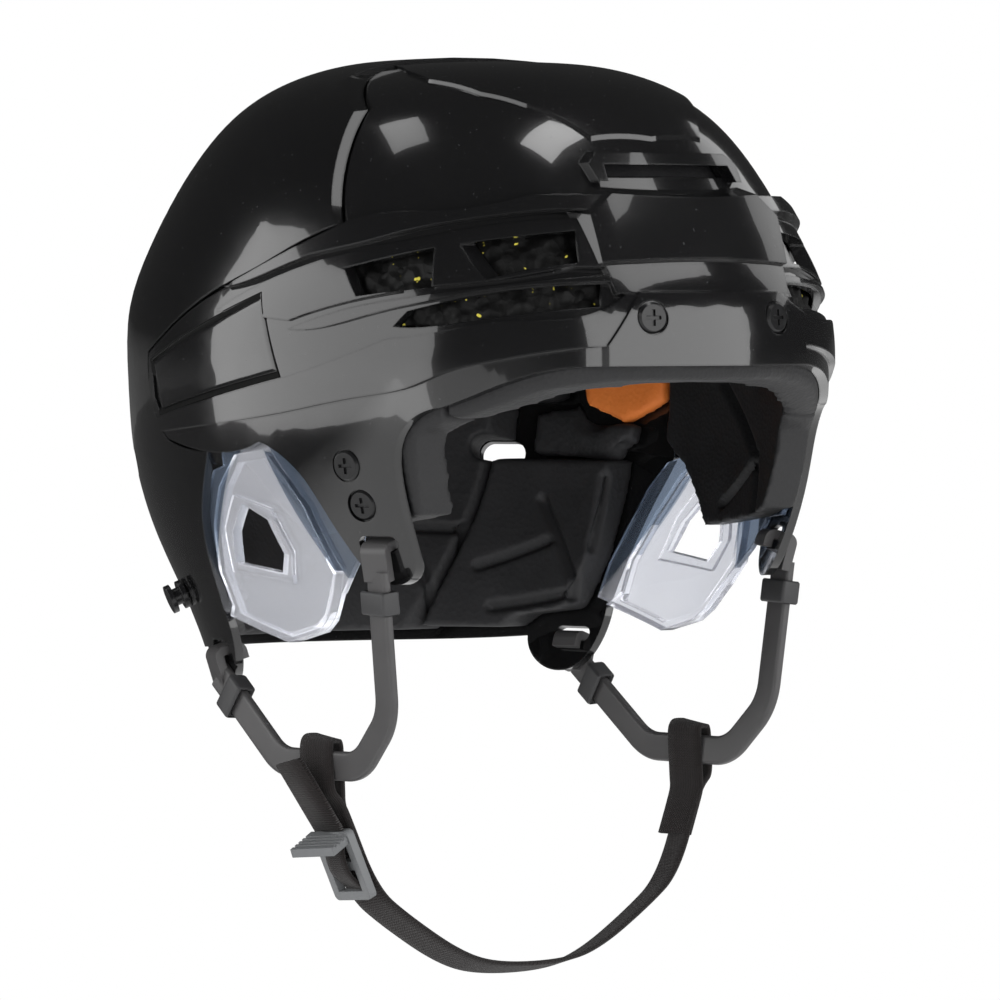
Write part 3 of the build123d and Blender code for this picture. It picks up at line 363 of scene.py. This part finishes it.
# The foam liner: blocks of closed-cell foam moulded to the shells, with rounded edges,
# pressed grooves and a fine matt skin. Each is made from its solid, remeshed and softened.
def foam_finish(name, dark, light, grain):
    """Matt closed-cell foam skin with fine pores."""
    material, wire, shader = new_finish(name, {"Specular IOR Level": 0.45})
    place = wire.node("ShaderNodeTexCoord", output="Object")
    blotch = blurred(wire, place, 60.0, 4.0)
    cells = wire.node("ShaderNodeTexVoronoi", inputs={"Vector": place, "Scale": grain})
    feed(
        shader,
        Base_Color=mixed(blotch, dark, light),
        Roughness=0.48 + blotch * 0.25,
        Normal=wire.node(
            "ShaderNodeBump",
            inputs={"Strength": 0.35, "Distance": 0.0004, "Height": cells + blotch * 0.6},
        ),
    )
    return material


liner_black = foam_finish(
    "liner_foam_black", (0.008, 0.008, 0.009, 1), (0.018, 0.018, 0.019, 1), 700.0
)
soft_grey = foam_finish(
    "soft_foam_grey", (0.016, 0.016, 0.017, 1), (0.031, 0.031, 0.033, 1), 520.0
)
orange_foam = foam_finish(
    "impact_foam_orange", (0.76, 0.18, 0.030, 1), (0.92, 0.27, 0.055, 1), 600.0
)
hidden_voxel = 0.0025
plain_voxel = 0.0018
grooved_voxel = 0.0012
groove_half_width = 0.0028
groove_depth = 0.0030


def copy_of(node_name, name):
    """A merged copy of a solid's mesh, as a piece of its own."""
    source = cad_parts[node_name]
    piece = bpy.data.objects.new(name, source.data.copy())
    bpy.context.scene.collection.objects.link(piece)
    piece.data.materials.clear()
    bpy.ops.object.select_all(action="DESELECT")
    bpy.context.view_layer.objects.active = piece
    piece.select_set(True)
    bpy.ops.object.mode_set(mode="EDIT")
    bpy.ops.mesh.select_all(action="SELECT")
    bpy.ops.mesh.remove_doubles(threshold=0.00002)
    bpy.ops.object.mode_set(mode="OBJECT")
    return piece


def finish_piece(piece, body, stands_for, material):
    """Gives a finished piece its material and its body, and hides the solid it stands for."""
    piece.data.materials.append(material)
    shade_smooth(piece)
    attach(piece, body)
    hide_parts(stands_for)
    piece.select_set(False)


def press_groove(pad, start, end):
    """Presses a groove into a pad, along the places nearest to a straight line."""
    runs = 8
    reach = (end - start).length / 2 + 0.03
    line = [pad.closest_point_on_mesh(start.lerp(end, step / runs))[1] for step in range(runs + 1)]
    inward = [-point.normal for point in pad.data.vertices]
    for point, push in zip(pad.data.vertices, inward):
        if (point.co - (start + end) / 2).length > reach:
            continue
        away = groove_half_width
        for low, high in zip(line, line[1:]):
            foot, share = intersect_point_line(point.co, low, high)
            foot = low.lerp(high, min(max(share, 0), 1))
            away = min(away, (point.co - foot).length)
        point.co += push * groove_depth * (1 - (away / groove_half_width) ** 2) ** 2


def soften_foam(pad, voxel):
    """Even mesh and rounded edges, as moulded foam has."""
    remesh = pad.modifiers.new("even_mesh", "REMESH")
    remesh.mode = "VOXEL"
    remesh.voxel_size = voxel
    soften = pad.modifiers.new("soften", "SMOOTH")
    soften.factor = 0.5
    soften.iterations = 4
    apply_all(pad)


def foam_pad(node_name, body, material, grooves=(), voxel=plain_voxel):
    """A foam block with softened edges and pressed grooves, given in millimetres."""
    pad = copy_of(node_name, node_name + "_foam")
    soften_foam(pad, voxel)
    for start, end in grooves:
        bpy.context.view_layer.update()
        press_groove(pad, Vector(start) / 1000, Vector(end) / 1000)
    finish_piece(pad, body, node_name, material)


def on_side(sign, grooves):
    """The same grooves on the wearer's left, 1, or right, -1."""
    return [((sign * a[0], *a[1:]), (sign * b[0], *b[1:])) for a, b in grooves]


foam_pad("forehead_pad", "front", liner_black)
foam_pad("crown_pad", "front", liner_black, voxel=hidden_voxel)
foam_pad("back_pad", "rear", liner_black, voxel=hidden_voxel)
foam_pad("rear_crown_pad", "rear", liner_black, voxel=hidden_voxel)
nape_grooves = [
    ((58, 84, 1), (50, 69, -36)),
    ((41, 93, -10), (43, 81, -28)),
    ((56, 86, 1), (41, 99, 2)),
]
both_napes = on_side(-1, nape_grooves) + on_side(1, nape_grooves)
foam_pad("occipital_pad", "rear", soft_grey, both_napes, grooved_voxel)
cheek_grooves = [
    ((73, 62, 12), (70, 36, -20)),
    ((56, 76, -12), (71.5, 55, -2.5)),
    ((70, 36, -20), (55, 67, -26)),
    ((82, 38, 20), (77, 33, -4)),
]
temple_grooves = [
    ((88, -21, 55), (80, -51, 28)),
    ((80, -51, 28), (71, -62, 8)),
    ((80, -51, 28), (82, -32, 12)),
]
for side, sign in (("right", -1), ("left", 1)):
    temples, cheeks = on_side(sign, temple_grooves), on_side(sign, cheek_grooves)
    foam_pad("temple_pad_" + side, "front", liner_black, temples, grooved_voxel)
    foam_pad("side_pad_" + side, "rear", soft_grey, cheeks, grooved_voxel)
    foam_pad("impact_pad_" + side, "rear", orange_foam)


# The label pads: two slim strips of soft grey foam, glued to the rear shell's inner wall
# between the side pads and the orange ones.
label_stand = 0.0006
label_thickness = 0.007
# Corners in millimetres: across, back and up
label_corners = [(80, 26, 28.6), (68, 73, 27.6), (79, 26, 36.6), (69, 73, 43)]
for side, sign in (("right", -1), ("left", 1)):
    bpy.ops.mesh.primitive_plane_add(size=1, location=(0, 0, 0))
    strip = bpy.context.object
    strip.name = "label_pad_" + side
    for corner, (across, back, up) in zip(strip.data.vertices, label_corners):
        corner.co = (sign * across / 1000, back / 1000, up / 1000)
    bpy.ops.object.mode_set(mode="EDIT")
    bpy.ops.mesh.subdivide(number_cuts=14)
    bpy.ops.object.mode_set(mode="OBJECT")
    cling = strip.modifiers.new("cling", "SHRINKWRAP")
    cling.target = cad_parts["rear_shell"]
    cling.wrap_method = "PROJECT"
    cling.use_negative_direction = True
    cling.use_positive_direction = True
    cling.offset = label_stand
    cling.wrap_mode = "ABOVE_SURFACE"
    calm = strip.modifiers.new("calm", "CORRECTIVE_SMOOTH")
    calm.use_only_smooth = True
    calm.use_pin_boundary = True
    calm.iterations = 40
    thicken = strip.modifiers.new("thicken", "SOLIDIFY")
    thicken.thickness = label_thickness
    thicken.offset = -sign
    apply_all(strip)
    soften_foam(strip, plain_voxel)
    strip.data.materials.append(soft_grey)
    shade_smooth(strip)
    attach(strip, "rear")


# The vent lattice: a lumpy open foam behind the side vents, black with yellow flecks in
# its cells, moulded to the inside of the front shell.
lattice_black, wire, shader = new_finish(
    "lattice_black", {"Roughness": 0.6, "Specular IOR Level": 0.3}
)
place = wire.node("ShaderNodeTexCoord", output="Object")
flecks = stepped(blurred(wire, place, 330.0, 1.0), 0.715, 0.74)
lump = wire.node("ShaderNodeTexVoronoi", inputs={"Vector": place, "Scale": 240.0})
feed(
    shader,
    Base_Color=mixed(flecks, (0.003, 0.003, 0.003, 1), (0.70, 0.62, 0.08, 1)),
    Normal=wire.node(
        "ShaderNodeBump", inputs={"Strength": 0.8, "Distance": 0.001, "Height": lump}
    ),
)
lattice_voxel = 0.0014
lump_size = 0.006
lump_depth = 0.0035
lump_pattern = bpy.data.textures.new("lattice_lumps", "VORONOI")
lump_pattern.noise_scale = lump_size
for side in ("right", "left"):
    lattice = copy_of("vent_lattice_" + side, "vent_lattice_" + side + "_foam")
    even = lattice.modifiers.new("even_mesh", "REMESH")
    even.mode = "VOXEL"
    even.voxel_size = lattice_voxel
    lumps = lattice.modifiers.new("lumps", "DISPLACE")
    lumps.texture = lump_pattern
    lumps.strength = -lump_depth
    lumps.mid_level = 0.0
    apply_all(lattice)
    finish_piece(lattice, "front", "vent_lattice_" + side, lattice_black)


# The ear guards: trays vacuum-formed from clear, slightly milky polycarbonate, with a
# rimmed ear hole. The flanges screwed behind the front shell have a smoky blue tint.
clear_guard, wire, shader = new_finish(
    "ear_guard_clear", {"IOR": 1.52, "Transmission Weight": 0.78}
)
place = wire.node("ShaderNodeTexCoord", output="Object")
haze = blurred(wire, place, 25.0, 3.0)
depth = wire.node("ShaderNodeSeparateXYZ", inputs={0: place}, output="Y")
height = wire.node("ShaderNodeSeparateXYZ", inputs={0: place}, output="Z")
front_flange_edge, rear_flange_edge = 0.029, 0.0185
front_band = wire.reckon("GREATER_THAN", height * 0.473 - depth * 0.882, front_flange_edge)
rear_band = wire.reckon("GREATER_THAN", height * 0.552 + depth * 0.833, rear_flange_edge)
flange_tint = mixed(haze, (0.17, 0.22, 0.30, 1), (0.27, 0.33, 0.43, 1))
tray_tint = mixed(haze, (0.84, 0.86, 0.93, 1), (0.93, 0.94, 0.99, 1))
feed(
    shader,
    Base_Color=mixed(wire.reckon("MAXIMUM", front_band, rear_band), tray_tint, flange_tint),
    Roughness=0.02 + haze * 0.04,
    Normal=wire.node("ShaderNodeBevel", {"samples": 4}, {"Radius": 0.0007}),
)
for side in ("right", "left"):
    dress("ear_guard_" + side, clear_guard, 30)


# The fasteners: blackened steel pan-head screws with a cross recess, and plain zinc-plated
# nuts behind the wall. They hold the ear guards and close the visor's holes.
screw_black, wire, shader = new_finish(
    "screw_black", {"Specular IOR Level": 0.3, "Coat Weight": 0.3, "Coat Roughness": 0.08}
)
place = wire.node("ShaderNodeTexCoord", output="Object")
scuff = blurred(wire, place, 400.0, 4.0)
feed(
    shader,
    Base_Color=mixed(scuff, (0.003, 0.003, 0.003, 1), (0.010, 0.010, 0.011, 1)),
    Roughness=0.22 + scuff * 0.20,
    Normal=wire.node("ShaderNodeBevel", {"samples": 4}, {"Radius": 0.0003}),
)
nut_grey, wire, shader = new_finish("nut_grey", {"Metallic": 1.0})
place = wire.node("ShaderNodeTexCoord", output="Object")
brushed = blurred(wire, place, 600.0, 3.0)
feed(
    shader,
    Base_Color=mixed(brushed, (0.35, 0.35, 0.36, 1), (0.6, 0.6, 0.61, 1)),
    Roughness=0.3 + brushed * 0.3,
)
for name in ("visor_screws", "ear_guard_screws"):
    dress(name, screw_black, 35)
for name in ("visor_nuts", "ear_guard_nuts"):
    dress(name, nut_grey, 35)


# The cage posts: mushroom-headed pegs of smooth black plastic, riveted through the rear
# shell's legs. The straps of a cage or visor would clip on them.
def satin_finish(name, dark, light, rough):
    """Satin moulded plastic with a fine spark-eroded grain."""
    material, wire, shader = new_finish(name, {"Specular IOR Level": 0.5})
    place = wire.node("ShaderNodeTexCoord", output="Object")
    shade = blurred(wire, place, 50.0, 5.0)
    grain = blurred(wire, place, 2600.0, 2.0)
    rounded = wire.node("ShaderNodeBevel", {"samples": 4}, {"Radius": 0.0005})
    feed(
        shader,
        Base_Color=mixed(shade, dark, light),
        Roughness=rough + shade * 0.15,
        Normal=wire.node(
            "ShaderNodeBump",
            inputs={"Strength": 0.12, "Distance": 0.0001, "Height": grain, "Normal": rounded},
        ),
    )
    return material


post_black = satin_finish("post_black", (0.006, 0.006, 0.007, 1), (0.013, 0.013, 0.014, 1), 0.14)
dress("cage_posts", post_black, 35)


# The slings: straps moulded in satin dark-grey plastic, hooked through the slots of the
# shell's legs and joined below the ear.
sling_grey = satin_finish("sling_grey", (0.040, 0.039, 0.040, 1), (0.064, 0.062, 0.063, 1), 0.32)
for side in ("right", "left"):
    dress("front_sling_" + side, sling_grey, 35)
    strap = copy_of("rear_sling_" + side, "rear_sling_" + side + "_strap")
    strap.data.materials.append(sling_grey)
    divide = strap.modifiers.new("divide", "SUBSURF")
    divide.subdivision_type = "SIMPLE"
    divide.levels = 2
    divide.render_levels = 2
    apply_all(strap)
    shade_smooth(strap)
    keep = strap.modifiers.new("keep_edges", "EDGE_SPLIT")
    keep.split_angle = math.radians(35)
    apply_all(strap)
    strap.select_set(False)
    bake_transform(strap)
    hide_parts("rear_sling_" + side)


# The keepers: soft black rubber sleeves with rounded edges, pushed over the slings below
# their hooks so that the hooks can't slip out of the slots.
keeper_black = satin_finish(
    "keeper_black", (0.020, 0.020, 0.021, 1), (0.040, 0.040, 0.042, 1), 0.40
)
for side in ("right", "left"):
    for end in ("front", "rear"):
        sleeve = copy_of(f"{end}_keeper_{side}", f"{end}_keeper_{side}_sleeve")
        rounding = sleeve.modifiers.new("rounding", "BEVEL")
        rounding.width = 0.0009
        rounding.segments = 3
        rounding.limit_method = "ANGLE"
        rounding.angle_limit = math.radians(50)
        apply_all(sleeve)
        finish_piece(sleeve, end, f"{end}_keeper_{side}", keeper_black)


# The chin webbing: one woven polyester strap, looped round each pair of slings and sewn
# back on itself, brown-black with a fine rib across its width and raised selvedges.
def woven_finish(name, length, width, lie=None):
    """Plain-woven webbing along the strap's own length and width, or along two directions."""
    rib_pitch, yarn_pitch = 0.00085, 0.0007
    material, wire, shader = new_finish(
        name, {"Sheen Weight": 0.10, "Sheen Roughness": 0.5, "Specular IOR Level": 0.25}
    )
    place = wire.node("ShaderNodeTexCoord", output="Object")
    if lie:
        dot = {"operation": "DOT_PRODUCT"}
        along, sideways = (
            wire.node("ShaderNodeVectorMath", dot, {0: place, 1: run}, "Value") for run in lie
        )
    else:
        unrolled = wire.node("ShaderNodeUVMap")
        along = wire.node("ShaderNodeSeparateXYZ", inputs={0: unrolled}, output="X")
        sideways = wire.node("ShaderNodeSeparateXYZ", inputs={0: unrolled}, output="Y")
    ribs = wire.reckon("SINE", along * (length / rib_pitch * 2 * math.pi))
    yarns = wire.reckon("SINE", sideways * (width / yarn_pitch * 2 * math.pi))
    weave = ribs * yarns
    fibre = blurred(wire, place, 1500.0, 4.0)
    tone = weave * 0.35 + fibre * 0.6 + 0.1
    feed(
        shader,
        Base_Color=mixed(tone, (0.004, 0.0035, 0.0035, 1), (0.026, 0.020, 0.0195, 1)),
        Roughness=0.75 + fibre * 0.2,
        Normal=wire.node(
            "ShaderNodeBump",
            inputs={
                "Strength": 0.7,
                "Distance": 0.0003,
                "Height": weave * 0.5 + ribs * 0.35 + fibre * 0.4,
            },
        ),
    )
    return material


def woven_strap(name, route, width, thickness):
    """A flat strap along a smooth curve through the given places, in metres."""
    bpy.ops.curve.primitive_nurbs_path_add(location=(0, 0, 0))
    strap = bpy.context.object
    strap.name = name
    strap.data.splines.clear()
    spline = strap.data.splines.new("NURBS")
    spline.points.add(len(route) - 1)
    for point, place in zip(spline.points, route):
        point.co = (*place, 1)
    spline.order_u = 3
    spline.use_endpoint_u = True
    spline.resolution_u = 10
    strap.data.twist_mode = "MINIMUM"
    bpy.ops.curve.primitive_nurbs_circle_add(location=(0, 0, 0))
    profile = bpy.context.object
    profile.data.splines.clear()
    edge = profile.data.splines.new("POLY")
    half_width, half_thick, round_off = width / 2, thickness / 2, thickness * 0.3
    middle_thick = half_thick * 0.94
    upper_side = [
        (half_width, half_thick - round_off),
        (half_width - round_off, half_thick),
        (half_width * 0.5, middle_thick),
        (0, middle_thick),
        (-half_width * 0.5, middle_thick),
        (-half_width + round_off, half_thick),
        (-half_width, half_thick - round_off),
    ]
    outline = [(half_width, -half_thick + round_off)] + upper_side
    outline += [(across, -up) for across, up in reversed(upper_side[1:])]
    edge.points.add(len(outline) - 1)
    for point, place in zip(edge.points, outline):
        point.co = (*place, 0, 1)
    edge.use_cyclic_u = True
    strap.data.bevel_mode = "OBJECT"
    strap.data.bevel_object = profile
    strap.data.use_fill_caps = True
    bpy.ops.object.select_all(action="DESELECT")
    bpy.context.view_layer.objects.active = strap
    strap.select_set(True)
    bpy.ops.object.convert(target="MESH")
    bpy.data.objects.remove(profile)
    strap = bpy.context.object
    bpy.ops.object.mode_set(mode="EDIT")
    bpy.ops.mesh.select_all(action="SELECT")
    bpy.ops.mesh.remove_doubles(threshold=0.00001)
    bpy.ops.mesh.normals_make_consistent(inside=False)
    bpy.ops.object.mode_set(mode="OBJECT")
    return strap


def web_place(across, drop):
    """A place on the webbing's plane, which leans 4 degrees forward below the slings."""
    junction_back, junction_up = -18, -73
    lean_sine, lean_cosine = 0.0698, 0.9976
    back, up = junction_back + drop * lean_sine, junction_up + drop * lean_cosine
    return (across / 1000, back / 1000, up / 1000)


web_width, web_thickness = 0.015, 0.0015
web_loop, web_girth = 0.420, 0.033
# Half of the loop in millimetres, from the chin up over the sling and back down to the seam
half_route = [
    (14, -71.6), (30.2, -67.0), (51.7, -53.6), (65.1, -43.2), (75.7, -17.3), (78.0, -13.0),
    (81.75, -9.5), (81.75, 0), (81.75, 8.75), (78.4, 9.0), (75.05, 8.75), (75.05, 0),
    (75.05, -9.5), (75.2, -13.0), (73.7, -17.3), (68.9, -29.0),
]
web_route = [web_place(-across, drop) for across, drop in reversed(half_route)]
web_route += [web_place(across, drop) for across, drop in half_route]
web_weave = woven_finish("chin_web_weave", web_loop, web_girth)
chin_strap = woven_strap("chin_webbing_strap", web_route, web_width, web_thickness)
finish_piece(chin_strap, "chin", "chin_webbing", web_weave)

down_the_tail, over_the_tail = (0.379, -0.065, -0.923), (0, 0.998, 0.070)
tail_weave = woven_finish("tail_weave", 1.0, 1.0, (down_the_tail, over_the_tail))
tail = copy_of("webbing_tail", "webbing_tail_strap")
finish_piece(tail, "chin", "webbing_tail", tail_weave)


# The buckle: a ladder lock moulded in mid-grey plastic, with a ribbed thumb tab that
# stands off the strap so that it can be tilted to let the webbing slip.
buckle_grey = satin_finish("buckle_grey", (0.11, 0.115, 0.12, 1), (0.16, 0.165, 0.17, 1), 0.36)
dress("buckle", buckle_grey, 35)


# The lacing: the same webbing where it comes up through the buckle's lower window, over
# the cross bar and down again under the tab.
def lacing_place(along, out):
    """A place by the buckle: its run from the seam downwards, and its stand off the strap."""
    seam_across, seam_drop = 75.7, -17.3
    slope_sine, slope_cosine = 0.379, 0.925
    across = seam_across - slope_sine * along + slope_cosine * out
    return web_place(-across, seam_drop - slope_cosine * along - slope_sine * out)


lacing_width, lacing_thickness = 0.0128, 0.0013
lacing_length, lacing_weave_width = 0.030, 0.013
lacing_route = [
    (27.5, 1.6), (25.2, 1.9), (23.6, 3.0), (20.0, 4.9), (18.2, 5.5), (14.8, 5.5),
    (12.5, 5.2), (9.6, 4.1), (8.0, 2.9), (7.4, 1.8), (4.5, 1.3),
]
lacing_places = [lacing_place(*place) for place in lacing_route]
lacing = woven_strap("buckle_lacing", lacing_places, lacing_width, lacing_thickness)
lacing.data.materials.append(woven_finish("lacing_weave", lacing_length, lacing_weave_width))
shade_smooth(lacing)
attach(lacing, "chin")
lacing.select_set(False)
